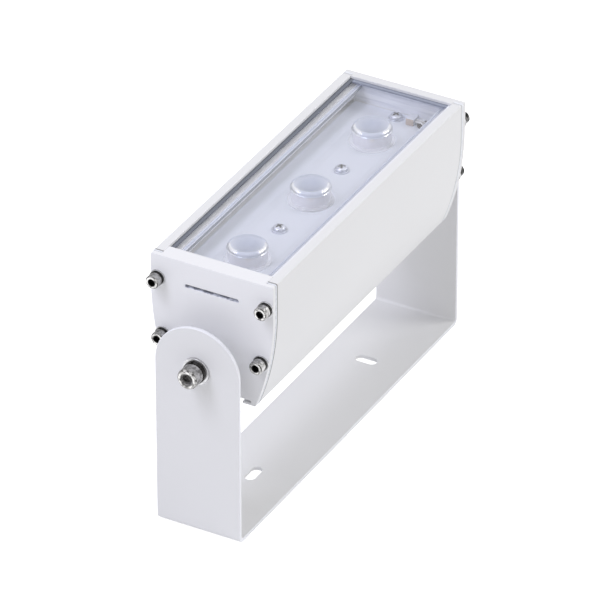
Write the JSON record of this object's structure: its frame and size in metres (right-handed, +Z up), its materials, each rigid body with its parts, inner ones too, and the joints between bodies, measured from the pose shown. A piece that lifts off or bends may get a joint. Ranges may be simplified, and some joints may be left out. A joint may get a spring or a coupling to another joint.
{
  "type": "outdoor wall washer light",
  "caption": "White linear LED wall washer with a glass window, lenses in a row and curved sides, tilting between the round-topped arms of a U bracket on two bolts.",
  "frame": {"origin": "centre of the underside of the bracket's base", "axes": "+X along the lamp towards its far end, +Y across it, +Z up through the window when the tilt is 0"},
  "size_m": [0.2932, 0.0804, 0.169],
  "materials": {
    "bracket_paint": "white satin powder coat on 2.5 mm steel sheet",
    "body_paint": "white satin powder coat on aluminium",
    "bare_alloy": "bare sheet and turned aluminium",
    "silicone": "matt black silicone rubber",
    "cover_glass": "clear toughened flat glass",
    "stainless": "plain stainless steel",
    "board_white": "white solder mask on an aluminium-core board",
    "thermal_pad": "soft grey thermal pad",
    "phosphor": "white ceramic package with a pale yellow dome",
    "clear_acrylic": "clear moulded acrylic",
    "white_nylon": "white nylon",
    "black_nylon": "black nylon",
    "potting": "dark grey cast resin",
    "lead_sheath": "coloured silicone insulation",
    "brass": "plated brass"
  },
  "bodies": {
    "bracket": {"u_bracket": "bracket_paint", "pivot_bushes": "black_nylon"},
    "lamp": {"housing": "body_paint", "near_end_cap": "body_paint", "far_end_cap": "body_paint", "near_seal_plate": "bare_alloy", "far_seal_plate": "bare_alloy", "near_cap_gasket": "silicone", "far_cap_gasket": "silicone", "cover_glass": "cover_glass", "glass_seal": "silicone", "near_cap_screws": "stainless", "near_cap_spring_washers": "stainless", "near_cap_washers": "stainless", "far_cap_screws": "stainless", "far_cap_spring_washers": "stainless", "far_cap_washers": "stainless", "near_pivot_bolt": "stainless", "far_pivot_bolt": "stainless", "pivot_spring_washers": "stainless", "pivot_washers": "stainless", "pivot_spacers": "bare_alloy", "pivot_nuts": "stainless", "led_board": "board_white", "thermal_pad": "thermal_pad", "led_chips": "phosphor", "lenses": "clear_acrylic", "lens_holders": "clear_acrylic", "board_screws": "stainless", "board_washers": "stainless", "board_connector": "white_nylon", "lead_grommet": "silicone", "led_leads": "lead_sheath", "driver_case": "black_nylon", "driver_potting": "potting", "driver_screws": "stainless", "terminal_block": "white_nylon", "terminal_clamp_screws": "brass", "terminal_fixing_screws": "stainless", "supply_leads": "lead_sheath", "earth_screw": "stainless", "earth_tag": "brass", "earth_lead": "lead_sheath", "gland_body": "black_nylon", "gland_face_seal": "silicone", "gland_insert": "silicone", "gland_dome_nut": "black_nylon", "gland_lock_nut": "black_nylon"}
  },
  "joints": [
    {"name": "tilt", "type": "hinge", "parent": "bracket", "child": "lamp", "pos_m": [0, 0, 0.1115], "axis": [1, 0, 0], "range_deg": [-90, 90]}
  ]
}
